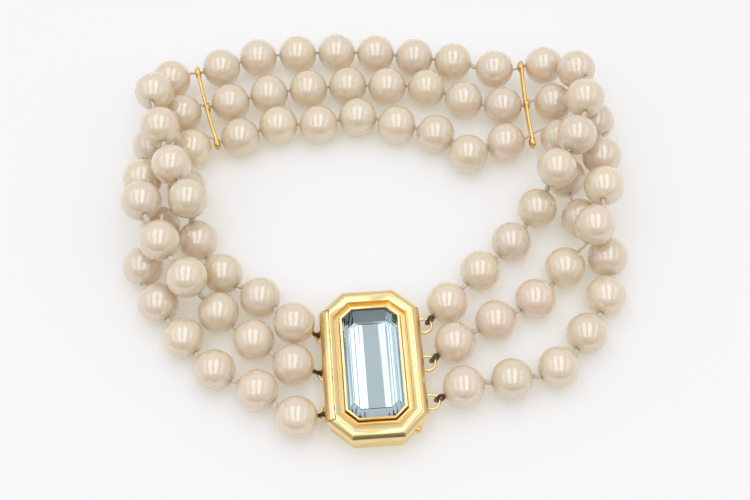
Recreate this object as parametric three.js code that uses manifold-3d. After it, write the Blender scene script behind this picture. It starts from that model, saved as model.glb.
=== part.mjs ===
// Three-strand pearl bracelet, fastened and lying on a table, with an octagonal box clasp.
// Millimetres, +Z up. X runs across the clasp and Y along it, away from the viewer.
import * as THREE from 'three';
import { mergeVertices } from 'three/addons/utils/BufferGeometryUtils.js';
import Module from 'manifold-3d';

const wasm = await Module();
wasm.setup();

// Clearances
const restGap = 0.3;           // between pieces that rest on one another
const seamGap = 0.25;          // between the tongue and the box it slides into

// Pearls and silk
const pearlDiameter = 6.5;
const pearlSides = 10;
const pearlCountToBar = 9;         // from the clasp to a spacer bar
const pearlCountBetweenBars = 8;
const plainGap = 0.3;          // least air between neighbours on the silk
const looseGap = 1.6;          // most air between them
const knotGap = 1.0;           // least air where a knot lies between them
const knotLooseGap = 2.0;      // most air there
const knotDiameter = 1.25;
const knotLength = 0.4;        // of its widest part
const knotsByClasp = 4;        // knotted places at each end of a strand
const threadDiameter = 0.55;

// Clasp outline and heights
const claspWidth = 15.6;
const claspLength = 25.2;
const cornerAcross = 3.75;     // how much of the width a cut corner takes
const cornerAlong = 3.5;       // how much of the length it takes
const claspTurn = 4.3;         // degrees, counter-clockwise from above
const claspPlaceX = -0.3;
const claspPlaceY = -22.4;
const wallInset = 0.7;         // box wall under the overhanging frame
const floorThickness = 0.6;
const tongueThickness = 0.7;
const webThickness = 0.35;     // between the tongue's slot and the stone's cup
const frameUnderside = 3.4;
const frameSide = 0.8;         // upright outer edge of the frame
const ridgeHeight = 1.2;       // ridge above that edge
const bevelWidth = 1.0;        // from the outer edge up to the ridge
const innerSlopeWidth = 1.3;   // from the ridge down to the channel
const innerSlopeDrop = 0.5;
const channelDepth = 1.3;
const channelWidth = 0.4;
const stepHeight = 0.75;
const stepWidth = 0.2;
const bezelRise = 0.75;
const bezelSlope = 0.25;
const bezelLip = 0.2;

// Tongue
const plateThickness = 1.45;
const tongueWidth = 11;
const tongueReach = 9;         // from the plate into the box

// Rings of the clasp and the gimp loops through them
const ringDiameter = 2.9;
const ringWire = 0.5;
const boxRingStandOff = 0.6;   // ring centre beyond the frame's edge
const boxRingHeight = 2.9;
const tongueRingStandOff = -0.65;
const tongueRingHeight = 1.5;
const solderDepth = 0.3;       // of the rings in the wall, the nub in the frame and the blade in its plate
const ringPitch = 6.45;        // from one ring to the next along the clasp
const gimpWire = 0.5;
const linkGap = 0.25;          // between a ring and the gimp loop through it
const loopSides = 12;
const wireSides = 6;

// Ribbed nub at the lower right corner
const nubDiameter = 1.2;
const nubStandOff = 0.7;       // past the frame's edge

// Aquamarine, as insets from its girdle and heights
const girdleThickness = 0.2;
const crownHeight = 1.0;
const tableInset = 1.15;
const crownSteps = 2;
const pavilionSteps = 3;
const culetWidth = 0.8;
const leastCorner = 0.1;       // what is left of the cut corners near the culet

// Spacer bars
const rowGapAtBar = 0.8;
const barThickness = 0.6;
const barWidth = 1.7;
const barOverhang = 1.1;       // past the outer holes
const collarLength = 0.9;
const barLooseGap = 0.6;       // most air between a collar and its pearls
const collarDiameter = 2.0;
const boreDiameter = 1.3;
const boreSides = 10;

// Where chosen pearls of each strand lie, in pearl diameters from the middle of the table: the pearl's number,
// counted from the clasp's left side round the back to its right side, then x, y and z. Chosen by hand.
const routes = {
  strand_upper: [
    [1, -1.9, -2.35, 0.55], [3, -3.65, -0.9, 0.5], [4, -4.35, -0.1, 0.6], [5, -4.55, 0.5, 1.3],
    [7, -5.4, 2.6, 1.5], [9, -5.2, 4.75, 0.7], [10, -4.2, 5.45, 0.6], [13, -1.0, 5.85, 0.5],
    [16, 2.05, 5.55, 0.55], [18, 4.15, 5.2, 0.65], [20, 5.4, 3.35, 1.45], [22, 4.5, 1.4, 1.4],
    [23, 4.1, 0.85, 0.7], [24, 3.45, 0.05, 0.5], [26, 1.75, -1.75, 0.5],
  ],
  strand_middle: [
    [1, -1.8, -3.35, 0.5], [3, -3.85, -2.0, 0.6], [5, -5.1, -0.7, 1.4], [7, -5.85, 1.6, 0.9],
    [9, -4.7, 3.35, 0.5], [10, -3.8, 4.2, 0.5], [13, -0.6, 4.7, 0.5], [16, 2.35, 4.35, 0.5],
    [18, 4.3, 3.3, 0.5], [20, 5.75, 1.95, 0.8], [22, 5.15, -0.6, 1.35], [23, 4.65, -0.85, 0.8],
    [24, 3.9, -1.6, 0.55], [26, 1.9, -2.85, 0.5],
  ],
  strand_lower: [
    [1, -1.7, -4.6, 0.6], [3, -3.75, -3.5, 0.5], [5, -5.1, -1.85, 0.5], [6, -5.65, -0.7, 0.5],
    [7, -5.35, 0.2, 0.5], [9, -4.15, 2.15, 0.5], [10, -3.4, 3.1, 0.5], [13, -0.42, 3.55, 0.5],
    [15, 1.5, 3.15, 0.5], [16, 2.5, 2.85, 0.5], [17, 3.65, 2.7, 0.5], [18, 4.3, 2.1, 0.5], [20, 5.4, 0.3, 0.5],
    [22, 5.45, -1.6, 0.5], [24, 4.2, -3.3, 0.5], [26, 2.0, -4.1, 0.5],
  ],
};

// Worked out from the sizes above
const pearlRadius = pearlDiameter / 2;
const threadRadius = threadDiameter / 2;
const barPitch = pearlDiameter + rowGapAtBar;
const strandNames = Object.keys(routes);
const rowOfStrand = (row) => 1 - row;
const pearlsPerStrand = 2 * pearlCountToBar + pearlCountBetweenBars;
const barAfter = [pearlCountToBar, pearlCountToBar + pearlCountBetweenBars];
const barReach = pearlRadius + restGap + collarLength / 2;
const ringRadius = (ringDiameter - ringWire) / 2;
const gimpRadius = ringWire / 2 + linkGap + gimpWire / 2;
const gimpReach = gimpRadius + gimpWire / 2 + pearlRadius;
const slotHeight = tongueThickness + 2 * seamGap;
const cupFloor = floorThickness + slotHeight + webThickness;

// Solids for joining and cutting

function solidOf(geometry) {
  const bare = geometry.clone();
  bare.deleteAttribute('normal');
  bare.deleteAttribute('uv');
  const merged = mergeVertices(bare, 1e-5);
  return new wasm.Manifold(new wasm.Mesh({
    numProp: 3,
    vertProperties: new Float32Array(merged.attributes.position.array),
    triVerts: new Uint32Array(merged.index.array),
  }));
}

function geometryOf(solid) {
  const mesh = solid.getMesh();
  const geometry = new THREE.BufferGeometry();
  geometry.setAttribute('position', new THREE.BufferAttribute(mesh.vertProperties, 3));
  geometry.setIndex(new THREE.BufferAttribute(mesh.triVerts, 1));
  geometry.computeVertexNormals();
  return geometry;
}

function meshOf(name, geometry, material) {
  const mesh = new THREE.Mesh(geometry, material);
  mesh.name = name;
  return mesh;
}

// A skin through rings of points: each ring has as many points as the next, and both ends are closed with a fan.
function skin(rings) {
  const points = [];
  const faces = [];
  const count = rings[0].length;
  rings.forEach((ring) => ring.forEach((point) => points.push(point.x, point.y, point.z)));
  for (let r = 0; r + 1 < rings.length; r += 1) {
    for (let i = 0; i < count; i += 1) {
      const here = r * count + i;
      const next = r * count + (i + 1) % count;
      faces.push(here, next, next + count, here, next + count, here + count);
    }
  }
  const last = (rings.length - 1) * count;
  for (let i = 1; i + 1 < count; i += 1) {
    faces.push(0, i + 1, i, last, last + i, last + i + 1);
  }
  const geometry = new THREE.BufferGeometry();
  geometry.setAttribute('position', new THREE.Float32BufferAttribute(points, 3));
  geometry.setIndex(faces);
  return geometry;
}

// Clasp, in its own place with its centre on the table under the stone

// A rectangle with cut corners, moved inwards by the same amount all round, as eight points at one height.
function octagon(inset, height) {
  const corner = Math.atan2(cornerAlong, cornerAcross);
  const x = claspWidth / 2 - inset;
  const y = claspLength / 2 - inset;
  const cutX = Math.min(claspWidth / 2 - cornerAcross - inset * Math.tan(corner / 2), x - leastCorner);
  const cutY = Math.min(claspLength / 2 - cornerAlong - inset * Math.tan(Math.PI / 4 - corner / 2), y - leastCorner);
  return [
    [x, -cutY], [x, cutY], [cutX, y], [-cutX, y], [-x, cutY], [-x, -cutY], [-cutX, -y], [cutX, -y],
  ].map(([px, py]) => new THREE.Vector3(px, py, height));
}

const rimEdge = frameUnderside + frameSide;
const ridgeTop = rimEdge + ridgeHeight;
const channelTop = ridgeTop - innerSlopeDrop;
const channelInset = bevelWidth + innerSlopeWidth;
const stepInset = channelInset + channelWidth;
const stepTop = channelTop - channelDepth + stepHeight;
const bezelTop = stepTop + bezelRise;
const cupInset = stepInset + stepWidth + bezelSlope + bezelLip;

// The whole gold body round the stone, tongue included, from its back up over the frame and down into the cup.
function claspBody() {
  return solidOf(skin([
    octagon(wallInset, 0),
    octagon(wallInset, frameUnderside),
    octagon(0, frameUnderside),
    octagon(0, rimEdge),
    octagon(bevelWidth, ridgeTop),
    octagon(channelInset, channelTop),
    octagon(channelInset, channelTop - channelDepth),
    octagon(stepInset, channelTop - channelDepth),
    octagon(stepInset, stepTop),
    octagon(stepInset + stepWidth, stepTop),
    octagon(cupInset - bezelLip, bezelTop),
    octagon(cupInset, bezelTop),
    octagon(cupInset, cupFloor),
  ]));
}

function block(xFrom, xTo, width, zFrom, zTo) {
  const box = new THREE.BoxGeometry(xTo - xFrom, width, zTo - zFrom);
  box.translate((xFrom + xTo) / 2, 0, (zFrom + zTo) / 2);
  return solidOf(box);
}

// Where a ring's centre lies: side is 1 for the box and -1 for the tongue.
function ringCentre(side, row) {
  const x = claspWidth / 2 + (side > 0 ? boxRingStandOff : tongueRingStandOff);
  return new THREE.Vector3(side * x, rowOfStrand(row) * ringPitch, side > 0 ? boxRingHeight : tongueRingHeight);
}

// Three rings lying flat along one side of the clasp, soldered to the wall under the frame.
function rings(side) {
  const found = strandNames.map((_, row) => {
    const ring = new THREE.TorusGeometry(ringRadius, ringWire / 2, wireSides, loopSides);
    ring.translate(...ringCentre(side, row));
    return solidOf(ring);
  });
  const wall = claspWidth / 2 - wallInset - solderDepth;
  const outside = [side * wall, side * claspWidth].sort((a, b) => a - b);
  return found.reduce((all, ring) => all.add(ring))
    .intersect(block(outside[0], outside[1], claspLength, 0, frameUnderside));
}

const plateTo = -claspWidth / 2 + plateThickness;
const plateWidth = claspLength - 2 * cornerAlong;

function claspBox(body) {
  const plateCut = block(-claspWidth, plateTo + seamGap, plateWidth + 2 * seamGap, -claspLength, claspLength);
  const slotFrom = floorThickness;
  const slot = block(plateTo, plateTo + tongueReach + seamGap, tongueWidth + 2 * seamGap,
    slotFrom, slotFrom + slotHeight);
  const nub = new THREE.CylinderGeometry(nubDiameter / 2, nubDiameter / 2, 2 * (wallInset + nubStandOff), loopSides);
  const middle = new THREE.Vector2(claspWidth - cornerAcross, cornerAlong - claspLength).multiplyScalar(0.5);
  const outward = new THREE.Vector2(cornerAlong, -cornerAcross).normalize();
  nub.rotateZ(outward.angle() - Math.PI / 2);
  const nubHeight = frameUnderside + solderDepth - nubDiameter / 2;
  nub.translate(middle.x - wallInset * outward.x, middle.y - wallInset * outward.y, nubHeight);
  return body.subtract(plateCut).subtract(slot).add(solidOf(nub)).add(rings(1));
}

function claspTongue(body) {
  const plate = body.intersect(block(-claspWidth, plateTo, plateWidth, -claspLength, claspLength));
  const bladeFrom = floorThickness + seamGap;
  const blade = block(plateTo - solderDepth, plateTo + tongueReach, tongueWidth,
    bladeFrom, bladeFrom + tongueThickness);
  return plate.add(blade).add(rings(-1));
}

// A step-cut stone: table, crown steps, girdle, pavilion steps and a narrow culet.
function aquamarine() {
  const girdleInset = cupInset + restGap;
  const culetInset = (claspWidth - culetWidth) / 2;
  const culet = cupFloor + restGap;
  const girdle = bezelTop - girdleThickness;
  const sections = [];
  for (let step = 0; step < pavilionSteps; step += 1) {
    const share = step / pavilionSteps;
    const rise = share * (2 - share);
    sections.push(octagon(culetInset + (girdleInset - culetInset) * share,
      culet + (girdle - culet) * (share + rise) / 2));
  }
  sections.push(octagon(girdleInset, girdle), octagon(girdleInset, girdle + girdleThickness));
  for (let step = 1; step <= crownSteps; step += 1) {
    const share = step / crownSteps;
    const rise = share * (3 - share) / 2;
    sections.push(octagon(girdleInset + tableInset * share, girdle + girdleThickness + crownHeight * rise));
  }
  return skin(sections);
}

// Strands

const clasp = new THREE.Group();
clasp.position.set(claspPlaceX, claspPlaceY, 0);
clasp.rotation.z = THREE.MathUtils.degToRad(claspTurn);
clasp.updateMatrixWorld();

// The middle of the ring's wire where it is nearest to a pearl, which is where a gimp loop hangs.
function loopPlace(centre, pearl) {
  const towards = pearl.clone().sub(centre).setZ(0).normalize();
  return centre.clone().addScaledVector(towards, ringRadius);
}

// Whether the silk is knotted after this pearl, as it is for a few pearls from either end.
function isKnotted(after) {
  const fromEnd = Math.min(after, pearlsPerStrand - after);
  return fromEnd <= knotsByClasp;
}

// The place that the route gives a pearl, by its number, between the chosen ones too.
function routePlace(route, number) {
  const last = route.length - 1;
  const reached = route.findLastIndex((row) => row[0] <= number);
  const from = Math.min(reached, last - 1);
  const rows = [from - 1, from, from + 1, from + 2].map((k) => Math.min(Math.max(k, 0), last));
  const [before, here, next, after] = rows.map((k) => route[k]);
  const span = next[0] - here[0];
  const share = (number - here[0]) / span;
  const axes = [1, 2, 3].map((axis) => {
    const slopeHere = span * (next[axis] - before[axis]) / (next[0] - before[0]);
    const slopeNext = span * (after[axis] - here[axis]) / (after[0] - here[0]);
    const rise = next[axis] - here[axis];
    return here[axis] + share * (slopeHere
      + share * (3 * rise - 2 * slopeHere - slopeNext + share * (slopeHere + slopeNext - 2 * rise)));
  });
  return new THREE.Vector3(...axes).multiplyScalar(pearlDiameter);
}

// What each strand is strung with, in order: ring, pearls and the bars' holes between them, ring.
// Each entry knows the least and the most that its centre may lie from the one before it.
function stringUp(row) {
  const route = routes[strandNames[row]];
  const ends = [-1, 1].map((side) => ({
    kind: 'ring',
    fixed: true,
    at: clasp.localToWorld(ringCentre(side, row)),
    least: ringRadius + gimpReach,
    most: ringRadius + gimpReach,
  }));
  const beads = [ends[0]];
  for (let number = 1; number <= pearlsPerStrand; number += 1) {
    const knot = number > 1 && isKnotted(number - 1);
    let least = pearlDiameter + (knot ? knotGap : plainGap);
    let most = pearlDiameter + (knot ? knotLooseGap : looseGap);
    if (number === 1) [least, most] = [ends[0].least, ends[0].most];
    if (barAfter.includes(number - 1)) [least, most] = [barReach, barReach + barLooseGap];
    const home = routePlace(route, number);
    beads.push({ kind: 'pearl', least, most, knot, home, at: home.clone() });
    if (barAfter.includes(number)) {
      const at = home.clone().lerp(routePlace(route, number + 1), 0.5);
      const bar = barAfter.indexOf(number);
      beads.push({ kind: 'hole', least: barReach, most: barReach + barLooseGap, bar, row, at });
    }
  }
  return [...beads, ends[1]];
}

// Moves two centres along the line between them until they are no nearer than least and no farther than most.
function hold(a, b, least, most = Infinity) {
  const line = b.at.clone().sub(a.at);
  const length = line.length();
  const wanted = Math.min(Math.max(length, least), most);
  const move = line.multiplyScalar((length - wanted) / length);
  const share = a.fixed || b.fixed ? 1 : 0.5;
  if (!a.fixed) a.at.addScaledVector(move, share);
  if (!b.fixed) b.at.addScaledVector(move, -share);
}

function barAxes(holes, strands) {
  const along = holes[holes.length - 1].at.clone().sub(holes[0].at).normalize();
  const through = new THREE.Vector3();
  holes.forEach((hole) => {
    const beads = strands[hole.row];
    const i = beads.indexOf(hole);
    through.add(beads[i + 1].at).sub(beads[i - 1].at);
  });
  through.addScaledVector(along, -through.dot(along)).normalize();
  return { along, through };
}

// Lets the strands lie: each pearl sinks until the table or other pearls hold it, keeps near its chosen place in
// plan, keeps its distance from its neighbours on the silk, and sits square on the collars of the bars.
const settleRounds = 500;
const closingRounds = 260;
const sinkEachRound = 0.06;
const homeward = 0.3;
const squaring = 0.2;
const evenness = 0.1;

function settle(strands) {
  const beads = strands.flat();
  const pearls = beads.filter((bead) => bead.kind === 'pearl');
  const holes = barAfter.map((_, bar) => beads.filter((bead) => bead.bar === bar));
  const closest = pearlDiameter + restGap;
  for (let round = 0; round < settleRounds + closingRounds; round += 1) {
    const closing = round >= settleRounds;
    if (!closing) {
      strands.forEach((strand) => {
        for (let i = 1; i + 1 < strand.length; i += 1) {
          const level = (strand[i - 1].at.z + strand[i + 1].at.z) / 2;
          strand[i].at.z += (level - strand[i].at.z) * evenness;
        }
      });
      pearls.forEach((pearl) => {
        pearl.at.z -= sinkEachRound;
        pearl.at.x += (pearl.home.x - pearl.at.x) * homeward;
        pearl.at.y += (pearl.home.y - pearl.at.y) * homeward;
      });
    }
    strands.forEach((strand) => {
      for (let i = 1; i < strand.length; i += 1) hold(strand[i - 1], strand[i], strand[i].least, strand[i].most);
    });
    holes.forEach((row) => {
      const { along, through } = barAxes(row, strands);
      const middle = row.reduce((sum, hole) => sum.add(hole.at), new THREE.Vector3()).divideScalar(row.length);
      row.forEach((hole) => hole.at.copy(middle).addScaledVector(along, -rowOfStrand(hole.row) * barPitch));
      row.forEach((hole) => {
        const beadsHere = strands[hole.row];
        const i = beadsHere.indexOf(hole);
        [-1, 1].forEach((side) => {
          const pearl = beadsHere[i + side];
          const square = hole.at.clone().addScaledVector(through, side * pearl.at.distanceTo(hole.at));
          pearl.at.lerp(square, squaring);
        });
      });
    });
    for (let i = 0; i < pearls.length; i += 1) {
      for (let j = i + 1; j < pearls.length; j += 1) {
        if (pearls[i].at.distanceTo(pearls[j].at) < closest) hold(pearls[i], pearls[j], closest);
      }
    }
    strands.forEach((strand) => {
      [-1, 1].forEach((side) => {
        const local = clasp.worldToLocal(strand.at(side > 0 ? -2 : 1).at);
        local.x = side * Math.max(side * local.x, claspWidth / 2 + restGap + pearlRadius);
        clasp.localToWorld(local);
      });
    });
    pearls.forEach((pearl) => {
      pearl.at.z = Math.max(pearl.at.z, pearlRadius);
    });
  }
  strands.forEach((strand) => {
    strand[0].at = loopPlace(strand[0].at, strand[1].at);
    strand.at(-1).at = loopPlace(strand.at(-1).at, strand.at(-2).at);
  });
  return holes;
}

// One strand as a single closed skin carried along the silk: at each pearl, rings of points that lie on its
// sphere, turning evenly from the way the silk comes in to the way it goes out.
const ringStep = 360 / pearlSides;
const latitudes = [-1.5, -0.5, 0.5, 1.5].map((share) => share * ringStep);

function strandSkin(beads, through) {
  const stations = [];
  const exitLatitude = THREE.MathUtils.radToDeg(Math.acos(threadRadius / pearlRadius));
  const heading = (i) => beads[i + 1].at.clone().sub(beads[i].at).normalize();
  const holeHeading = (bead) => through[bead.bar].clone();
  const addRing = (centre, axis, radius) => stations.push({ centre, axis, radius });
  addRing(beads[0].at.clone().addScaledVector(heading(0), gimpRadius), heading(0), threadRadius);
  for (let i = 1; i + 1 < beads.length; i += 1) {
    const bead = beads[i];
    if (bead.kind === 'hole') {
      const axis = holeHeading(bead);
      [-1, 1].forEach((side) => {
        const centre = bead.at.clone().addScaledVector(axis, side * (collarLength / 2 + restGap / 2));
        addRing(centre, axis, threadRadius);
      });
    } else {
      if (bead.knot) {
        const axis = heading(i - 1);
        const middle = bead.at.clone().lerp(beads[i - 1].at, 0.5);
        [-1, 1].forEach((side) => {
          addRing(middle.clone().addScaledVector(axis, side * knotLength / 2), axis, knotDiameter / 2);
        });
      }
      const into = heading(i - 1);
      const out = heading(i);
      [-exitLatitude, ...latitudes, exitLatitude].forEach((latitude) => {
        const axis = into.clone().lerp(out, 0.5 + latitude / (2 * exitLatitude)).normalize();
        const angle = THREE.MathUtils.degToRad(latitude);
        const centre = bead.at.clone().addScaledVector(axis, pearlRadius * Math.sin(angle));
        addRing(centre, axis, pearlRadius * Math.cos(angle));
      });
    }
  }
  const last = beads.length - 1;
  addRing(beads[last].at.clone().addScaledVector(heading(last - 1), -gimpRadius), heading(last - 1), threadRadius);
  let across = new THREE.Vector3(0, 0, 1);
  return skin(stations.map(({ centre, axis, radius }) => {
    across = across.clone().addScaledVector(axis, -across.dot(axis)).normalize();
    const third = axis.clone().cross(across);
    return Array.from({ length: pearlSides }, (_, i) => {
      const turn = 2 * Math.PI * i / pearlSides;
      return centre.clone().addScaledVector(across, radius * Math.cos(turn))
        .addScaledVector(third, radius * Math.sin(turn));
    });
  }));
}

// A gimp loop stands upright round the ring's wire and faces its pearl.
function gimpLoop(place, pearl) {
  const loop = new THREE.TorusGeometry(gimpRadius, gimpWire / 2, wireSides, loopSides);
  const towards = pearl.clone().sub(place).normalize();
  const sideways = new THREE.Vector3(0, 0, 1).cross(towards).normalize();
  const upward = towards.clone().cross(sideways);
  loop.applyMatrix4(new THREE.Matrix4().makeBasis(towards, upward, sideways.negate()).setPosition(place));
  return solidOf(loop);
}

function strandGeometry(beads, through) {
  const last = beads.length - 1;
  return geometryOf(solidOf(strandSkin(beads, through))
    .add(gimpLoop(beads[0].at, beads[1].at))
    .add(gimpLoop(beads[last].at, beads[last - 1].at)));
}

// Spacer bars

function cylinderAlongZ(diameter, length, x) {
  const cylinder = new THREE.CylinderGeometry(diameter / 2, diameter / 2, length, boreSides);
  cylinder.rotateX(Math.PI / 2);
  cylinder.translate(x, 0, 0);
  return solidOf(cylinder);
}

// A flat strip with a short tube at each strand, its length along X and its holes along Z.
function spacerGeometry() {
  const holePlaces = strandNames.map((_, row) => rowOfStrand(row) * barPitch);
  const stripLength = (strandNames.length - 1) * barPitch + 2 * barOverhang;
  let bar = solidOf(new THREE.BoxGeometry(stripLength, barWidth, barThickness));
  holePlaces.forEach((x) => {
    bar = bar.add(cylinderAlongZ(collarDiameter, collarLength, x));
  });
  holePlaces.forEach((x) => {
    bar = bar.subtract(cylinderAlongZ(boreDiameter, collarLength + restGap, x));
  });
  return geometryOf(bar);
}

function placeSpacer(mesh, holes, axes) {
  const middle = holes[0].at.clone().add(holes[holes.length - 1].at).multiplyScalar(0.5);
  const towardsFirst = axes.along.clone().negate();
  const upward = axes.through.clone().cross(towardsFirst);
  mesh.quaternion.setFromRotationMatrix(new THREE.Matrix4().makeBasis(towardsFirst, upward, axes.through));
  mesh.position.copy(middle);
  return mesh;
}

// Materials

const gold = new THREE.MeshStandardMaterial({ color: 0xe0b458, roughness: 0.22, metalness: 1 });
const spacerGold = new THREE.MeshStandardMaterial({ color: 0xd9a441, roughness: 0.25, metalness: 1 });
const stone = new THREE.MeshStandardMaterial({ color: 0xbcd8e4, roughness: 0.03, metalness: 0 });
const nacre = new THREE.MeshStandardMaterial({ color: 0xf3e6d8, roughness: 0.25, metalness: 0 });

// Assembly

const strands = strandNames.map((_, row) => stringUp(row));
const barHoles = settle(strands);
const bars = barHoles.map((holes) => barAxes(holes, strands));
const through = bars.map((axes) => axes.through);

const body = claspBody();
clasp.add(meshOf('clasp_box', geometryOf(claspBox(body)), gold));
clasp.add(meshOf('clasp_tongue', geometryOf(claspTongue(body)), gold));
clasp.add(meshOf('aquamarine', aquamarine(), stone));

const group = new THREE.Group();
group.add(clasp);
strandNames.forEach((name, row) => group.add(meshOf(name, strandGeometry(strands[row], through), nacre)));
['spacer_left', 'spacer_right'].forEach((name, bar) => {
  group.add(placeSpacer(meshOf(name, spacerGeometry(), spacerGold), barHoles[bar], bars[bar]));
});

// The origin is under the middle of the whole bracelet, on the table.
const box = new THREE.Box3().setFromObject(group, true);
group.position.set(-(box.min.x + box.max.x) / 2, -(box.min.y + box.max.y) / 2, -box.min.z);

export default group;
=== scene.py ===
# A three-strand pearl bracelet with a gold box clasp, fastened and lying on a pale table.
# The script follows the bracelet as it is put together: clasp, stone, pearls, silk, wire loops, spacer bars.

import math

import bmesh
import bpy
import numpy as np
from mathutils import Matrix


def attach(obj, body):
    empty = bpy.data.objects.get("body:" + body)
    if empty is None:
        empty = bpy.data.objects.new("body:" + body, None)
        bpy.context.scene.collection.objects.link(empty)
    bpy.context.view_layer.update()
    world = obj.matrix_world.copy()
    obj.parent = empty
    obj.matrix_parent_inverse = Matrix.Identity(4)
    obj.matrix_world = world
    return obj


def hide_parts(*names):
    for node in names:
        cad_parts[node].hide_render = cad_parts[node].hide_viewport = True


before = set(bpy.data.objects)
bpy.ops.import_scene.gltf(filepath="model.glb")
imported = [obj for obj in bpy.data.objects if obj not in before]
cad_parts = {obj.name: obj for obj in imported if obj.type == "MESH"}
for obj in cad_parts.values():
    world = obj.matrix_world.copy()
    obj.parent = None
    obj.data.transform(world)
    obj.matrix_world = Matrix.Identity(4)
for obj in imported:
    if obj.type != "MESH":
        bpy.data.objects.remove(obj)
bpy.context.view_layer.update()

# Gold box of the clasp
# A tray soldered up from yellow gold sheet. Its frame overhangs the wall as a polished moulding: an outer
# bevel, a ridge, a slope inwards, a deep channel, and a stepped collet whose thin lip holds the stone.

# Sizes are in millimetres, heights over the table, and insets from the frame's edge inwards.
MM = 0.001
CLASP_WIDTH, CLASP_LENGTH = 15.6, 25.2
CORNER_ACROSS, CORNER_ALONG = 3.75, 3.5
WALL_INSET = 0.7
FRAME_UNDERSIDE = 3.4
RIM_TOP = 4.2
RIDGE_INSET, RIDGE_TOP = 1.0, 5.4
CHANNEL_INSET, CHANNEL_TOP, CHANNEL_FLOOR = 2.3, 4.9, 3.6
STEP_INSET, STEP_WIDTH, STEP_TOP = 2.7, 0.2, 4.35
LIP_INSET, LIP_TOP, LIP_OVER, LIP_FALL = 3.15, 5.1, 0.33, 0.06
CUP_FLOOR = 2.15
SEAM = 0.12
PLATE_THICKNESS = 1.45
PLATE_LENGTH = CLASP_LENGTH - 2 * CORNER_ALONG
EDGE_RADIUS = 0.1
# The least run of an octagon's edge, how near points count as one place, and, in metres, as one point.
LEAST_CUT = 0.05
SAME_PLACE = 0.01
MERGED = 1e-7


def vertices_of(node):
    """Every vertex of a CAD node as rows of x, y and z."""
    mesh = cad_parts[node].data
    places = np.empty(len(mesh.vertices) * 3, np.float32)
    mesh.vertices.foreach_get("co", places)
    return places.reshape(-1, 3).astype(float)


def own_axes(node):
    """Middle of a CAD node, and its own axes from the longest to the shortest, as rows."""
    points = vertices_of(node)
    corners = np.unique(np.round(points / (SAME_PLACE * MM)), axis=0) * SAME_PLACE * MM
    middle = (corners.min(0) + corners.max(0)) / 2
    spread = corners - corners.mean(0)
    return middle, np.linalg.svd(spread, full_matrices=False)[2]


stone_middle, stone_axes = own_axes("aquamarine")
clasp_along = stone_axes[0] * np.sign(stone_axes[0][1])
clasp_along = np.array([clasp_along[0], clasp_along[1], 0.0])
clasp_along /= np.linalg.norm(clasp_along)
clasp_across = np.array([clasp_along[1], -clasp_along[0], 0.0])
clasp_origin = np.array([stone_middle[0], stone_middle[1], 0.0])


def on_clasp(points):
    """Points in the clasp's own millimetres, x across and y along it, put in their place on the table."""
    x, y, z = np.moveaxis(np.asarray(points, float) * MM, -1, 0)
    return clasp_origin + x[..., None] * clasp_across + y[..., None] * clasp_along + z[..., None] * [0, 0, 1]


def octagon(inset, height):
    """A rectangle with cut corners, moved inwards by inset, each edge in its own direction."""
    corner = math.atan2(CORNER_ALONG, CORNER_ACROSS)
    x, y = CLASP_WIDTH / 2 - inset, CLASP_LENGTH / 2 - inset
    cut_x = min(CLASP_WIDTH / 2 - CORNER_ACROSS - inset * math.tan(corner / 2), x - LEAST_CUT)
    cut_y = min(CLASP_LENGTH / 2 - CORNER_ALONG - inset * math.tan(math.pi / 4 - corner / 2), y - LEAST_CUT)
    right = [(x, -cut_y), (x, cut_y), (cut_x, y)]
    left = [(-cut_x, y), (-x, cut_y), (-x, -cut_y)]
    front = [(-cut_x, -y), (cut_x, -y)]
    return [(px, py, height) for px, py in right + left + front]


def grid(points, close_u=False, close_v=False, capped=False):
    """Points and faces of a surface given on a grid: u runs down the rows, v along them."""
    points = np.asarray(points, float)
    rows, columns = points.shape[:2]
    u = np.arange(rows if close_u else rows - 1)[:, None]
    v = np.arange(columns if close_v else columns - 1)[None, :]
    u_next, v_next = (u + 1) % rows, (v + 1) % columns
    faces = [u * columns + v, u_next * columns + v, u_next * columns + v_next, u * columns + v_next]
    faces = np.stack(faces, -1).reshape(-1, 4).tolist()
    if capped:
        faces += [list(range(columns)), [(rows - 1) * columns + i for i in range(columns)]]
    return points.reshape(-1, 3), faces


def mesh_of(name, surfaces, sharp=30):
    """One mesh from several grids, with its seams and poles closed and its faces turned outwards."""
    points, faces, start = [], [], 0
    for places, polygons in surfaces:
        points.append(places)
        faces += [[start + i for i in polygon] for polygon in polygons]
        start += len(places)
    mesh = bpy.data.meshes.new(name)
    mesh.from_pydata(np.concatenate(points).tolist(), [], faces)
    build = bmesh.new()
    build.from_mesh(mesh)
    bmesh.ops.remove_doubles(build, verts=build.verts, dist=MERGED)
    bmesh.ops.dissolve_degenerate(build, edges=build.edges, dist=MERGED)
    bmesh.ops.recalc_face_normals(build, faces=build.faces)
    build.to_mesh(mesh)
    build.free()
    mesh.shade_smooth()
    mesh.set_sharp_from_angle(angle=math.radians(sharp))
    return mesh


def piece(name, surfaces, material, replaced=(), sharp=30):
    """A finished piece of the bracelet, riding on its one body."""
    thing = bpy.data.objects.new(name, mesh_of(name, surfaces, sharp))
    bpy.context.scene.collection.objects.link(thing)
    thing.data.materials.append(material)
    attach(thing, "root")
    if replaced:
        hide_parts(*replaced)
    return thing


def softened(thing, segments=3, angle=25):
    """Rounds a piece's sharp edges, as polishing does."""
    bevel = thing.modifiers.new("softened", "BEVEL")
    bevel.width = EDGE_RADIUS * MM
    bevel.segments = segments
    bevel.limit_method = "ANGLE"
    bevel.angle_limit = math.radians(angle)
    bevel.harden_normals = False


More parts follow.
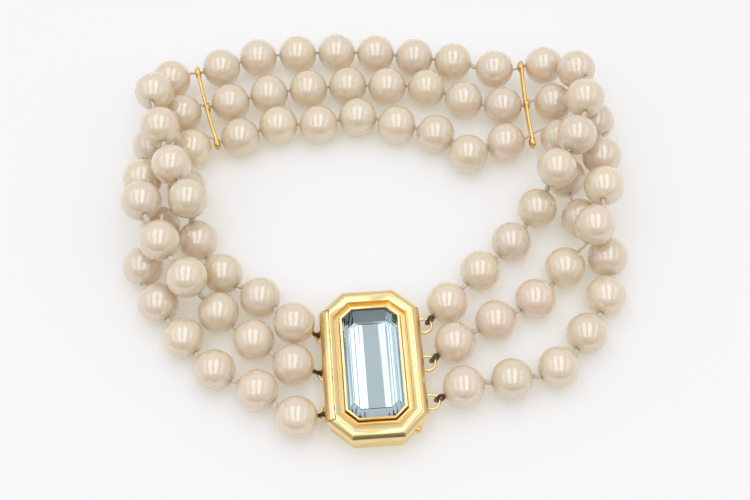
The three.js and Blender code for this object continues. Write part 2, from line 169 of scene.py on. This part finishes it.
class Value:
    """A node's output in a material. Arithmetic on it adds Math nodes."""

    def __init__(self, finish, socket):
        self.finish, self.socket = finish, socket

    def math(self, operation, *others):
        return self.finish.add("ShaderNodeMath", {"operation": operation}, [self, *others])

    def __add__(self, other):
        return self.math("ADD", other)

    def __radd__(self, other):
        return self.math("ADD", other)

    def __mul__(self, other):
        return self.math("MULTIPLY", other)

    def __rmul__(self, other):
        return self.math("MULTIPLY", other)

    def __sub__(self, other):
        return self.math("SUBTRACT", other)

    def __rsub__(self, other):
        return self.finish.add("ShaderNodeMath", {"operation": "SUBTRACT"}, [other, self])


class Finish:
    """The nodes of a material, or of the world, which lights the room. Either one is the holder."""

    def __init__(self, name, kind=bpy.data.materials):
        self.holder = kind.new(name)
        self.holder.use_nodes = True
        self.tree = self.holder.node_tree
        self.tree.nodes.clear()

    def add(self, kind, settings=None, sockets=(), out=0):
        """Puts in one node: its settings, then its sockets' values or links. out is the output given back."""
        node = self.tree.nodes.new(kind)
        for key, value in (settings or {}).items():
            setattr(node, key, value)
        pairs = sockets.items() if isinstance(sockets, dict) else enumerate(sockets)
        for key, value in pairs:
            if isinstance(value, Value):
                self.tree.links.new(value.socket, node.inputs[key])
            else:
                node.inputs[key].default_value = value
        return Value(self, node.outputs[out]) if len(node.outputs) else node

    def where(self, scale=(1, 1, 1), turn=(0, 0, 0)):
        """Object coordinates, stretched and turned."""
        place = self.add("ShaderNodeTexCoord", out=3)
        return self.add("ShaderNodeMapping", {}, {"Vector": place, "Scale": scale, "Rotation": turn})

    def noise(self, vector, scale, detail=2.0):
        """Cloudy unevenness between 0 and 1. Scale says how many clouds go to a metre."""
        return self.add("ShaderNodeTexNoise", {}, {"Vector": vector, "Scale": scale, "Detail": detail})

    def between(self, value, low, high, to_low=0.0, to_high=1.0):
        """The value stretched so that low and high become to_low and to_high, and held there outside."""
        return self.add("ShaderNodeMapRange", {}, [value, low, high, to_low, to_high])

    def blend(self, share, first, second):
        """Colour that goes from the first to the second as share goes from 0 to 1."""
        return self.add("ShaderNodeMix", {"data_type": "RGBA"}, {0: share, 6: first, 7: second}, out=2)

    def relief(self, height, strength, distance):
        """A normal tilted as if the surface rose and fell with height."""
        return self.add("ShaderNodeBump", {}, {"Strength": strength, "Distance": distance, "Height": height})

    def surface(self, **sockets):
        """Ends the material with a Principled shader whose sockets are given by name, with _ for a space."""
        named = {key.replace("_", " "): value for key, value in sockets.items()}
        shader = self.add("ShaderNodeBsdfPrincipled", {}, named)
        self.add("ShaderNodeOutputMaterial", {}, [shader])
        return self.holder


def polished_gold(name, bright, deep, roughness):
    """Yellow gold with hairlines from wiping, a few fine scratches and a slightly uneven polish."""
    gold = Finish(name)
    cloud = gold.noise(gold.where(), 300.0, 3.0)
    hair_along = gold.noise(gold.where((90, 4200, 700), (0, 0, 0.5)), 1.0, 2.0)
    hair_across = gold.noise(gold.where((3900, 130, 700), (0, 0, 0.2)), 1.0, 2.0)
    scratch = gold.between(gold.noise(gold.where((500, 9000, 1600), (0, 0, 1.1)), 1.0, 1.0), 0.7, 0.76)
    colour = gold.blend(gold.between(cloud, 0.35, 0.7), bright, deep)
    rough = gold.between(cloud, 0.3, 0.7, roughness * 0.8, roughness * 1.25) + scratch * 0.08
    return gold.surface(Base_Color=colour, Metallic=1.0, Roughness=rough, IOR=1.5,
                        Normal=gold.relief(hair_along + hair_across - scratch * 0.5, 0.06, 0.00002))


clasp_gold = polished_gold("clasp_gold", (0.94, 0.75, 0.4, 1), (0.9, 0.68, 0.32, 1), 0.2)

# Moulding of the frame, as insets from its edge and heights, with the radius that polishing has left there.
frame_moulding = [
    (WALL_INSET, 0, 0.1), (WALL_INSET, FRAME_UNDERSIDE, 0), (0, FRAME_UNDERSIDE, 0.1), (0, RIM_TOP, 1.15),
    (RIDGE_INSET, RIDGE_TOP, 1.1), (CHANNEL_INSET, CHANNEL_TOP, 0.3), (CHANNEL_INSET, CHANNEL_FLOOR, 0),
    (STEP_INSET, CHANNEL_FLOOR, 0), (STEP_INSET, STEP_TOP, 0.05), (STEP_INSET + STEP_WIDTH, STEP_TOP, 0),
    (LIP_INSET, LIP_TOP, 0.06), (LIP_INSET + LIP_OVER, LIP_TOP - LIP_FALL, 0.05),
    (LIP_INSET + LIP_OVER, CUP_FLOOR, 0),
]


def rounded(profile, steps=9):
    """The profile with an arc at each corner that has a radius. The arc starts and ends at radius times
    tan(half the turn) from the corner."""
    places = np.array([row[:2] for row in profile], float)
    result = []
    for i, (x, z, radius) in enumerate(profile):
        if not radius or i in (0, len(profile) - 1):
            result.append((x, z))
            continue
        back, on = places[i - 1] - places[i], places[i + 1] - places[i]
        back, on = back / np.linalg.norm(back), on / np.linalg.norm(on)
        opening = math.acos(np.clip(back @ on, -1, 1))
        run = radius / math.tan(opening / 2)
        way = (back + on) / np.linalg.norm(back + on)
        centre = places[i] + way * radius / math.sin(opening / 2)
        first, last = places[i] + back * run - centre, places[i] + on * run - centre
        turn = math.acos(np.clip(first @ last / radius ** 2, -1, 1))
        for share in np.linspace(0, 1, steps):
            mix = (first * math.sin((1 - share) * turn) + last * math.sin(share * turn)) / math.sin(turn)
            result.append(tuple(centre + mix))
    return result


def block(x_from, x_to, width, z_from, z_to):
    """A plain box in the clasp's millimetres."""
    ring = [(x_from, -width / 2), (x_to, -width / 2), (x_to, width / 2), (x_from, width / 2)]
    return grid(on_clasp([[(x, y, z) for x, y in ring] for z in (z_from, z_to)]), close_v=True, capped=True)


def carved(surfaces, cutter, operation):
    """The clasp's moulding cut by a block, or kept only inside it, as points and faces."""
    objects = []
    for part in (surfaces, [cutter]):
        thing = bpy.data.objects.new("carving", mesh_of("carving", part))
        bpy.context.scene.collection.objects.link(thing)
        objects.append(thing)
    boolean = objects[0].modifiers.new("cut", "BOOLEAN")
    boolean.object, boolean.operation, boolean.solver = objects[1], operation, "EXACT"
    bpy.context.view_layer.update()
    result = objects[0].evaluated_get(bpy.context.evaluated_depsgraph_get()).to_mesh()
    points = np.array([vertex.co for vertex in result.vertices])
    faces = [list(polygon.vertices) for polygon in result.polygons]
    for thing in objects:
        bpy.data.objects.remove(thing)
    return points, faces


outlines = [octagon(inset, height) for inset, height in rounded(frame_moulding)]
body = [grid(on_clasp(outlines), close_v=True, capped=True)]
plate_to = -CLASP_WIDTH / 2 + PLATE_THICKNESS
# The cutting blocks reach clear of the frame, above and below.
ABOVE, BELOW = 9.0, -1.0
plate_space = block(-CLASP_WIDTH, plate_to + SEAM, PLATE_LENGTH + 2 * SEAM, BELOW, ABOVE)
box_frame = piece("clasp_box_frame", [carved(body, plate_space, "DIFFERENCE")], clasp_gold,
                  ["clasp_box"], sharp=20)
softened(box_frame)

# Tongue
# The strands' end plate closes the left side of the frame and carries the flat blade that snaps into the box.
# Both are of the same gold as the box.

BLADE_WIDTH, BLADE_REACH, BLADE_SINK = 11.0, 9.0, 0.3
BLADE_FROM, BLADE_THICKNESS = 0.85, 0.7
plate = carved(body, block(-CLASP_WIDTH, plate_to, PLATE_LENGTH, BELOW, ABOVE), "INTERSECT")
blade = block(plate_to - BLADE_SINK, plate_to + BLADE_REACH, BLADE_WIDTH,
              BLADE_FROM, BLADE_FROM + BLADE_THICKNESS)
tongue = piece("clasp_tongue_plate", [plate, blade], clasp_gold, ["clasp_tongue"], sharp=20)
softened(tongue)

# Rings and catch
# Round wire rings, soldered flat against the wall under the frame, three on each side. A small ribbed peg
# under the lower right corner works the catch.

RING_RADIUS, RING_WIRE = 1.2, 0.5
RING_PITCH, RING_STEPS = 6.45, 48
# x and z of the rings' middles on each side.
RING_SIDES = {"right": (CLASP_WIDTH / 2 + 0.6, 2.9), "left": (-CLASP_WIDTH / 2 + 0.65, 1.5)}
# A direction that no tube here follows.
ASKEW = (0.13, 0.31, 0.94)


def round_tube(path, radius, sides=12, closed=True):
    """A tube: a circle stands square to the path at each of its points."""
    path = np.asarray(path, float)
    if closed:
        run = np.roll(path, -1, 0) - np.roll(path, 1, 0)
    else:
        run = np.gradient(path, axis=0)
    run /= np.linalg.norm(run, axis=1, keepdims=True)
    first = np.cross(run, ASKEW)
    first /= np.linalg.norm(first, axis=1, keepdims=True)
    second = np.cross(run, first)
    turn = np.linspace(0, 2 * np.pi, sides, endpoint=False)
    radius = np.broadcast_to(radius, len(path))[:, None, None]
    rings = np.cos(turn)[None, :, None] * first[:, None] + np.sin(turn)[None, :, None] * second[:, None]
    return grid(path[:, None] + radius * rings, close_u=closed, close_v=True, capped=not closed)


def ring_centre(side, row):
    """Where a ring's middle lies: row 0 is the upper strand's."""
    x, z = RING_SIDES[side]
    return np.array([x, (1 - row) * RING_PITCH, z])


around = np.linspace(0, 2 * np.pi, RING_STEPS, endpoint=False)
circle = np.stack([np.cos(around), np.sin(around), 0 * around], 1) * RING_RADIUS
for side in RING_SIDES:
    tubes = [round_tube(on_clasp(circle + ring_centre(side, row)), RING_WIRE / 2 * MM) for row in range(3)]
    piece("clasp_rings_" + side, tubes, clasp_gold, sharp=60)

PEG_RADIUS, PEG_RIBS, PEG_RIB_DEPTH, PEG_WAIST = 0.6, 4, 0.1, 0.88
# Along the peg, outwards from the cut corner: its two ends, the tip of the dome, and the dome's length.
PEG_FROM, PEG_TO, PEG_TIP, PEG_DOME = -1.4, 0.66, 0.7, 0.25
PEG_HEIGHT, PEG_STEPS = 3.1, 60
corner_middle = np.array([CLASP_WIDTH - CORNER_ACROSS, CORNER_ALONG - CLASP_LENGTH]) / 2
outward = np.array([CORNER_ALONG, -CORNER_ACROSS]) / math.hypot(CORNER_ALONG, CORNER_ACROSS)
along_peg = np.linspace(PEG_FROM, PEG_TO, PEG_STEPS)
peg_path = np.stack([*(corner_middle[:, None] + outward[:, None] * along_peg), 0 * along_peg + PEG_HEIGHT], 1)
ribbed = PEG_WAIST + PEG_RIB_DEPTH * np.cos(along_peg * PEG_RIBS * np.pi)
domed = np.sqrt(np.clip((PEG_TIP - along_peg) / PEG_DOME, 0, 1))
peg = round_tube(on_clasp(peg_path), PEG_RADIUS * ribbed * domed * MM, sides=20, closed=False)
piece("clasp_peg", [peg], clasp_gold, sharp=50)

# Aquamarine
# A long step-cut stone with cut corners: a wide table, narrow crown steps, and a pavilion of long parallel
# steps behind which its closed setting shines.

STONE_INSET = 3.42
STONE_GIRDLE, STONE_TABLE = 4.95, 6.05
# Crown, as insets from the girdle and rises over it.
crown_steps = [(0, -0.12), (0, 0.0), (0.32, 0.42), (0.62, 0.72), (0.95, 0.95),
               (1.0, STONE_TABLE - STONE_GIRDLE)]
# Pavilion, as insets from the girdle, rises (here falls), and how much farther in the far and near ends lie.
pavilion_steps = [(0.1, -0.9, 0.05, 0.05), (0.3, -1.3, 0.65, 0.2), (0.6, -1.86, 1.5, 0.35)]
# Its floor of narrow steps is almost flat: the slopes vary, and each fourth step is steeper.
FLOOR_STEPS, FLOOR_PITCH, END_PITCH = 15, 0.17, 0.03
MIDDLE_SLOPE, SLOPE_CHANGE, STEEPER = 0.075, 0.035, 0.17
for step in range(FLOOR_STEPS):
    inset, rise, far, near = pavilion_steps[-1]
    slope = MIDDLE_SLOPE + SLOPE_CHANGE * math.sin(2.1 * step) + STEEPER * (step % 4 == 3)
    gained = FLOOR_PITCH - END_PITCH
    pavilion_steps.append((inset + FLOOR_PITCH, rise - slope * FLOOR_PITCH, far - gained, near - gained))

crown = [octagon(STONE_INSET + inset, STONE_GIRDLE + rise) for inset, rise in crown_steps]
pavilion = []
for inset, rise, far, near in reversed(pavilion_steps):
    step = np.array(octagon(STONE_INSET + inset, STONE_GIRDLE + rise))
    step[:, 1] -= np.where(step[:, 1] > 0, far, -near)
    pavilion.append(step)

# The facets from a little under the girdle down mirror the light back, as the closed setting makes them do.
BACK_FROM = 0.15
clear_blue = Finish("aquamarine").surface(Base_Color=(0.9, 0.965, 0.985, 1), Roughness=0.0, IOR=1.58,
                                          Transmission_Weight=1.0)
silvered = Finish("aquamarine_back").surface(Base_Color=(0.65, 0.75, 0.785, 1), Metallic=1.0, Roughness=0.03)

stone = piece("aquamarine_cut", [grid(on_clasp(pavilion + crown), close_v=True, capped=True)],
              clear_blue, ["aquamarine"], sharp=1)
stone.data.materials.append(silvered)
for facet in stone.data.polygons:
    facet.material_index = int(facet.center[2] < (STONE_GIRDLE - BACK_FROM) * MM)

# Pearls
# Round cultured pearls, cream with a rose overtone, each drilled through for the silk. No two are quite alike
# in shape or tint.

PEARL_RADIUS = 3.25
# To find the pearls' middles: facets that must agree on one, how closely, and the shortest edge that counts.
LEAST_FACETS, AGREED, LEAST_EDGE = 60, 0.2, 0.01
HOLE_RADIUS, HOLE_DEPTH, HOLE_TAPER = 0.4, 0.6, 0.85
ROUND, TALL = 72, 40
# Faint waves over a pearl: radians to a radius, height as a share of the radius, and the largest phase.
WAVE_PITCHES, WAVE_HEIGHT, LAST_PHASE = (2.2, 3.1, 4.4, 7.0), 0.0045, 6.28
# A direction that no strand follows, to start the turn about a pearl's hole from.
OFF_STRAND = (0.3, 0.2, 0.93)
CREAM, ROSE = (0.745, 0.64, 0.53), (0.745, 0.62, 0.55)
BRIGHTNESS_SPREAD, TINT_SPREAD = 0.02, 0.003
STRANDS = ("strand_upper", "strand_middle", "strand_lower")
chance = np.random.default_rng(7)


def pearl_centres(node, start):
    """Middles of a strand's pearls, in order along the silk from the one nearest to start.

    Every facet of a pearl has its three corners on the pearl's sphere. So the sphere's middle lies behind the
    facet's circumcentre, along its normal, by sqrt(R^2 - r^2), with r the radius of the facet's own circle.
    A point that many facets name is a pearl's middle.
    """
    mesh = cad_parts[node].data
    mesh.calc_loop_triangles()
    corners = np.empty(len(mesh.loop_triangles) * 3, np.int32)
    mesh.loop_triangles.foreach_get("vertices", corners)
    a, b, c = vertices_of(node)[corners.reshape(-1, 3)].transpose(1, 0, 2)
    ab, ac = b - a, c - a
    normal = np.cross(ab, ac)
    size = (normal ** 2).sum(1, keepdims=True)
    reach = (np.cross(normal, ab) * (ac ** 2).sum(1, keepdims=True)
             + np.cross(ac, normal) * (ab ** 2).sum(1, keepdims=True))
    sound = size[:, 0] > (LEAST_EDGE * MM) ** 4
    reach, normal, size, a = reach[sound] / (2 * size[sound]), normal[sound], size[sound], a[sound]
    behind = (PEARL_RADIUS * MM) ** 2 - (reach ** 2).sum(1, keepdims=True)
    named = (a + reach - normal / np.sqrt(size) * np.sqrt(np.maximum(behind, 0)))[behind[:, 0] > 0]
    found = []
    while len(named):
        near = np.linalg.norm(named - named[0], axis=1) < AGREED * MM
        if near.sum() >= LEAST_FACETS:
            found.append(named[near].mean(0))
        named = named[~near]
    ordered = [start]
    while found:
        nearest = int(np.argmin(np.linalg.norm(np.array(found) - ordered[-1], axis=1)))
        ordered.append(found.pop(nearest))
    return np.array(ordered[1:])


def pearl_surface(centre, axis):
    """A sphere on a grid of polar angle and turn about the drill hole, with a short pit at both ends of the
    hole and a radius that a few faint waves change."""
    first = np.cross(axis, OFF_STRAND)
    first /= np.linalg.norm(first)
    second = np.cross(axis, first)
    edge = math.asin(HOLE_RADIUS / PEARL_RADIUS)
    polar = np.linspace(edge, np.pi - edge, TALL)
    turn = np.linspace(0, 2 * np.pi, ROUND, endpoint=False)
    outwards = np.cos(turn)[None, :, None] * first + np.sin(turn)[None, :, None] * second
    ways = np.sin(polar)[:, None, None] * outwards + np.cos(polar)[:, None, None] * axis
    wave = np.zeros(ways.shape[:2])
    for pitch in WAVE_PITCHES:
        heading = chance.normal(size=3)
        phase = ways @ (heading / np.linalg.norm(heading)) * pitch + chance.uniform(0, LAST_PHASE)
        wave += np.sin(phase) * WAVE_HEIGHT / pitch
    shell = ways * (PEARL_RADIUS * (1 + wave))[..., None]
    mouths = []
    for end in (0, -1):
        way = axis * (1 if end == 0 else -1)
        rim = shell[end]
        flat = rim - (rim @ way)[:, None] * way
        floor = HOLE_TAPER * flat + way * (PEARL_RADIUS - HOLE_DEPTH)
        middle = np.broadcast_to(way * (PEARL_RADIUS - HOLE_DEPTH), floor.shape)
        mouths.append([middle, floor] if end == 0 else [floor, middle])
    whole = np.concatenate([np.array(mouths[0]), shell, np.array(mouths[1])])
    return grid(centre + whole * MM, close_v=True)


def nacre_finish():
    """Nacre: thin clear layers over a creamy bead, so it has a soft deep shine under a sharper one."""
    nacre = Finish("nacre")
    tint = nacre.add("ShaderNodeVertexColor", {"layer_name": "tint"})
    cloud = nacre.noise(nacre.where(), 420.0, 3.0)
    warm = nacre.add("ShaderNodeMix", {"data_type": "RGBA", "blend_type": "MULTIPLY"},
                     {0: nacre.between(cloud, 0.3, 0.75, 0.0, 0.5), 6: tint, 7: (0.96, 0.92, 0.86, 1)}, 2)
    growth = nacre.noise(nacre.where(), 2400.0, 3.0)
    return nacre.surface(Base_Color=warm, Roughness=nacre.between(growth, 0.3, 0.7, 0.13, 0.19), IOR=2.4,
                         Specular_Tint=(0.7, 0.86, 1.0, 1), Subsurface_Weight=1.0,
                         Subsurface_Radius=(1.0, 0.85, 0.65), Subsurface_Scale=0.006,
                         Coat_Weight=1.0, Coat_Roughness=0.07, Coat_IOR=1.55, Coat_Tint=(1.0, 0.97, 0.89, 1),
                         Normal=nacre.relief(growth, 0.03, 0.00002))


nacre_material = nacre_finish()
pearls = {}
for row, strand in enumerate(STRANDS):
    ends = [on_clasp(ring_centre(side, row)) for side in ("left", "right")]
    centres = pearl_centres(strand, ends[0])
    line = np.concatenate([[ends[0]], centres, [ends[1]]])
    axes = line[2:] - line[:-2]
    axes /= np.linalg.norm(axes, axis=1, keepdims=True)
    pearls[strand] = (centres, axes)
    surfaces = [pearl_surface(centre, axis) for centre, axis in zip(centres, axes)]
    string = piece(strand + "_pearls", surfaces, nacre_material, [strand], sharp=50)
    tone = chance.uniform(0, 1, (len(centres), 1))
    tints = ((1 - tone) * CREAM + tone * ROSE) * chance.normal(1, BRIGHTNESS_SPREAD, (len(centres), 1))
    tints += chance.normal(0, TINT_SPREAD, (len(centres), 3))
    places = np.empty(len(string.data.vertices) * 3, np.float32)
    string.data.vertices.foreach_get("co", places)
    nearest = np.linalg.norm(places.reshape(-1, 1, 3) - centres, axis=2).argmin(1)
    tint_layer = string.data.color_attributes.new("tint", "FLOAT_COLOR", "POINT")
    colours = np.concatenate([tints, np.ones((len(centres), 1))], 1)[nearest]
    tint_layer.data.foreach_set("color", colours.astype(np.float32).ravel())

# Silk
# Cream silk thread, doubled, knotted between the pearls near the clasp. It shows wherever two pearls stand
# apart, and it runs through the bars' tubes.

THREAD_RADIUS, SILK_STEPS = 0.21, 25
KNOT_RADIUS, KNOT_REACH = 0.42, 0.24
LUMP_HEIGHT, LUMP_PITCH, LUMP_PHASE = 0.12, 60, 6
# A knot lies where the pearls stand this far apart. Where they stand farther apart there is a bar.
KNOT_AIR, BAR_AIR = 0.8, 1.4

silk = Finish("silk")
strand_lines = silk.noise(silk.where(), 5200.0, 2.0)
silk_colour = silk.blend(strand_lines, (0.58, 0.49, 0.37, 1), (0.76, 0.68, 0.55, 1))
silk_material = silk.surface(Base_Color=silk_colour, Roughness=0.75, Sheen_Weight=0.3, Subsurface_Weight=0.2,
                             Subsurface_Scale=0.0005, Normal=silk.relief(strand_lines, 0.5, 0.00006))

for strand in STRANDS:
    centres, axes = pearls[strand]
    threads = []
    for i in range(len(centres) - 1):
        start = centres[i] + axes[i] * (PEARL_RADIUS - HOLE_DEPTH) * MM
        end = centres[i + 1] - axes[i + 1] * (PEARL_RADIUS - HOLE_DEPTH) * MM
        air = np.linalg.norm(centres[i + 1] - centres[i]) / MM - 2 * PEARL_RADIUS
        share = np.linspace(0, 1, SILK_STEPS)[:, None]
        pull = np.linalg.norm(end - start) / 3
        path = ((1 - share) ** 3 * start + 3 * share * (1 - share) ** 2 * (start + axes[i] * pull)
                + 3 * share ** 2 * (1 - share) * (end - axes[i + 1] * pull) + share ** 3 * end)
        radii = np.full(SILK_STEPS, THREAD_RADIUS)
        if KNOT_AIR < air < BAR_AIR:
            swell = np.clip(1 - ((share[:, 0] - 0.5) / KNOT_REACH) ** 2, 0, 1)
            lumps = 1 + LUMP_HEIGHT * np.sin(share[:, 0] * LUMP_PITCH + chance.uniform(0, LUMP_PHASE))
            radii = THREAD_RADIUS + (KNOT_RADIUS - THREAD_RADIUS) * np.sqrt(swell) * lumps
        threads.append(round_tube(path, radii * MM, closed=False))
    piece(strand + "_silk", threads, silk_material, sharp=70)

# Wire loops
# Each strand's end runs through a short coil of fine gilt wire, bent round the clasp's ring so that the ring
# can't saw through the silk. The coils have tarnished dark brown.

COIL_RADIUS, COIL_WIRE_RADIUS, COIL_PITCH = 0.2, 0.085, 0.2
# The loop's half width, its reach to the pearl, how much it narrows on that side and how far it twists there.
LOOP_RADIUS, LOOP_REACH, LOOP_NARROWING, LOOP_TWIST, LOOP_STEPS = 0.55, 0.98, 0.55, 1.0, 400

tarnished = Finish("tarnished_wire")
bloom = tarnished.noise(tarnished.where(), 1500.0, 3.0)
brown = tarnished.blend(tarnished.between(bloom, 0.4, 0.65), (0.12, 0.075, 0.04, 1), (0.42, 0.28, 0.13, 1))
tarnished_wire = tarnished.surface(Base_Color=brown, Metallic=0.8,
                                   Roughness=tarnished.between(bloom, 0.3, 0.7, 0.35, 0.6))


def coil_loop(middle, towards):
    """A helix wound on an egg-shaped loop round the ring's wire, its narrow end in the pearl's hole."""
    sideways = np.cross([0, 0, 1], towards)
    sideways /= np.linalg.norm(sideways)
    upward = np.cross(towards, sideways)
    round_loop = np.linspace(0, 2 * np.pi, LOOP_STEPS)
    pearlward = np.clip(np.cos(round_loop), 0, 1)
    lengthwise = np.where(np.cos(round_loop) > 0, LOOP_REACH, LOOP_RADIUS) * np.cos(round_loop)
    height = LOOP_RADIUS * np.sin(round_loop) * (1 - LOOP_NARROWING * pearlward ** 2)
    twist = LOOP_TWIST * pearlward
    line = (lengthwise[:, None] * towards + (height * np.cos(twist))[:, None] * upward
            + (height * np.sin(twist))[:, None] * sideways)
    run = np.gradient(line, axis=0)
    steps = np.linalg.norm(run, axis=1, keepdims=True)
    run /= steps
    across = np.cross(run, sideways)
    across /= np.linalg.norm(across, axis=1, keepdims=True)
    third = np.cross(run, across)
    length = np.cumsum(steps) / np.sum(steps)
    turns = round(float(np.sum(steps)) / COIL_PITCH)
    angle = 2 * np.pi * turns * length
    wind = line + COIL_RADIUS * (np.cos(angle)[:, None] * across + np.sin(angle)[:, None] * third)
    return round_tube(middle + wind[:-1] * MM, COIL_WIRE_RADIUS * MM, sides=6)


for row, strand in enumerate(STRANDS):
    centres, _ = pearls[strand]
    loops = []
    for side, pearl in (("left", centres[0]), ("right", centres[-1])):
        ring = on_clasp(ring_centre(side, row))
        level = (pearl - ring) * [1, 1, 0]
        middle = ring + level / np.linalg.norm(level) * RING_RADIUS * MM
        towards = (pearl - middle) / np.linalg.norm(pearl - middle)
        loops.append(coil_loop(middle, towards))
    piece(strand + "_wire_loops", loops, tarnished_wire, sharp=80)

# Spacer bars
# Thin gold strips on edge, with a short tube at each strand, which keep the strands side by side. Their gold
# is a little redder than the clasp's.

BAR_LENGTH, BAR_WIDTH, BAR_THICKNESS = 16.8, 1.7, 0.6
BAR_PITCH, BAR_BOW = 7.3, 0.12
BAR_STEPS, BAR_SIDES = 80, 32
# The section's superellipse power, and the share of the half length over which an end is drawn in.
BAR_POWER, BAR_END = 0.45, 0.05
COLLAR_RADIUS, COLLAR_LENGTH, BORE_RADIUS = 0.88, 0.9, 0.5
MOUTH_ROUND, MOUTH_SHARE = 0.15, 0.7
bar_gold = polished_gold("spacer_gold", (0.92, 0.6, 0.22, 1), (0.75, 0.43, 0.14, 1), 0.22)


def bar_strip(middle, along, upright, through):
    """A strip with a slight bow: a superellipse section carried along the bar and drawn in at both ends."""
    reach = np.linspace(-1, 1, BAR_STEPS)
    turn = np.linspace(0, 2 * np.pi, BAR_SIDES, endpoint=False)
    wide = np.sign(np.cos(turn)) * np.abs(np.cos(turn)) ** BAR_POWER * BAR_WIDTH / 2
    thick = np.sign(np.sin(turn)) * np.abs(np.sin(turn)) ** BAR_POWER * BAR_THICKNESS / 2
    close = np.sqrt(np.clip((1 - np.abs(reach)) / BAR_END, 0, 1))[:, None]
    bow = BAR_BOW * (1 - 2 * reach ** 2)[:, None]
    points = ((reach * BAR_LENGTH / 2)[:, None, None] * along + (wide * close)[..., None] * upright
              + (thick * (0.4 + 0.6 * close) + bow)[..., None] * through)
    return grid(middle + points * MM, close_v=True)


def collar(middle, upright, along, through):
    """A short tube with a rounded mouth: a rounded profile turned about the strand's line."""
    mouth = [(COLLAR_RADIUS, MOUTH_SHARE), (COLLAR_RADIUS - MOUTH_ROUND, 1), (BORE_RADIUS, 1)]
    other_mouth = [(radius, -along_tube) for radius, along_tube in reversed(mouth)]
    profile = np.array(other_mouth + mouth) * [1, COLLAR_LENGTH / 2]
    turn = np.linspace(0, 2 * np.pi, BAR_SIDES, endpoint=False)
    rim = np.cos(turn)[:, None] * upright + np.sin(turn)[:, None] * along
    points = profile[:, 0, None, None] * rim + profile[:, 1, None, None] * through
    return grid(middle + points * MM, close_u=True, close_v=True)


for side in ("left", "right"):
    middle, (along, upright, through) = own_axes("spacer_" + side)
    parts = [bar_strip(middle, along, upright, through)]
    for place in (-1, 0, 1):
        parts.append(collar(middle + along * place * BAR_PITCH * MM, upright, along, through))
    piece("spacer_bar_" + side, parts, bar_gold, ["spacer_" + side], sharp=50)

# Table
# A plain white sheet of plastic, slightly matt. Its surface glows faintly with a warm light of its own,
# painted light that stands in for a light below it and keeps shadows on it light and warm.

TABLE_SIZE = 3.0
half = TABLE_SIZE / 2
sheet = grid([[(-half, -half, 0), (half, -half, 0)], [(-half, half, 0), (half, half, 0)]])
table = bpy.data.objects.new("table", mesh_of("table", [sheet]))
bpy.context.scene.collection.objects.link(table)
# The emission is a painted warm glow, not a lamp. The base colour leans blue so that the lit sheet still
# reads white under it.
white_plastic_painted_glow = Finish("white_table_painted_glow").surface(Base_Color=(0.565, 0.605, 0.7, 1), Roughness=0.6,
                                              Emission_Color=(1.0, 0.86, 0.58, 1), Emission_Strength=0.32)
table.data.materials.append(white_plastic_painted_glow)

# Light
# Soft panels high over the table, long from front to back, with gaps between them, in a white room that is
# dark low down in front, where the camera stands.

LIGHT_HEIGHT = 0.5
PANEL_FRONT, PANEL_BACK = -1.05, 0.72
PANEL_COLOUR = (0.97, 0.99, 1.0)
# The panels' middles and widths from left to right, as shares of their height, and their radiance.
panels = [(-1.15, 0.6, 0.65), (-0.34, 0.4, 1.15), (0.23, 0.34, 1.4), (1.15, 0.5, 0.65)]
ROOM_FRONT, ROOM_ELSEWHERE = (0.04, 0.04, 0.04, 1), (0.74, 0.74, 0.74, 1)
# The way out of the dark: as far along it as DARK_TO the room is darkest, and from BRIGHT_FROM on brightest.
FROM_THE_DARK, DARK_TO, BRIGHT_FROM = (0, 1, 0.6), -0.95, -0.25
for number, (middle, width, shine) in enumerate(panels):
    light = bpy.data.lights.new("panel_%d" % number, "AREA")
    light.shape = "RECTANGLE"
    light.size = width * LIGHT_HEIGHT
    light.size_y = (PANEL_BACK - PANEL_FRONT) * LIGHT_HEIGHT
    light.energy = shine * math.pi * light.size * light.size_y
    light.color = PANEL_COLOUR
    lamp = bpy.data.objects.new(light.name, light)
    lamp.location = (middle * LIGHT_HEIGHT, (PANEL_BACK + PANEL_FRONT) / 2 * LIGHT_HEIGHT, LIGHT_HEIGHT)
    bpy.context.scene.collection.objects.link(lamp)

room = Finish("room", bpy.data.worlds)
heading = room.add("ShaderNodeTexCoord")
away = room.add("ShaderNodeVectorMath", {"operation": "DOT_PRODUCT"}, [heading, FROM_THE_DARK], out=1)
glow = room.blend(room.between(away, DARK_TO, BRIGHT_FROM), ROOM_FRONT, ROOM_ELSEWHERE)
room.add("ShaderNodeOutputWorld", {}, [room.add("ShaderNodeBackground", {}, [glow, 1.0])])
bpy.context.scene.world = room.holder
bpy.context.scene.view_settings.view_transform = "Standard"

# Camera
# It looks down at the bracelet from the clasp's side, at the photograph's angle. What it aims at comes in the
# middle of the picture.

CAMERA_RISE = math.radians(60)
CAMERA_REACH = 0.225
CAMERA_LENS = 66.1
AIM_FROM_CLASP = (0.3, 22.4, 0)
aim = clasp_origin + np.array(AIM_FROM_CLASP) * MM
camera = bpy.data.objects.new("camera", bpy.data.cameras.new("camera"))
camera.data.lens = CAMERA_LENS
camera.data.clip_start = 0.01
camera.location = aim + CAMERA_REACH * np.array([0, -math.cos(CAMERA_RISE), math.sin(CAMERA_RISE)])
camera.rotation_euler = (math.pi / 2 - CAMERA_RISE, 0, 0)
bpy.context.scene.collection.objects.link(camera)
bpy.context.scene.camera = camera
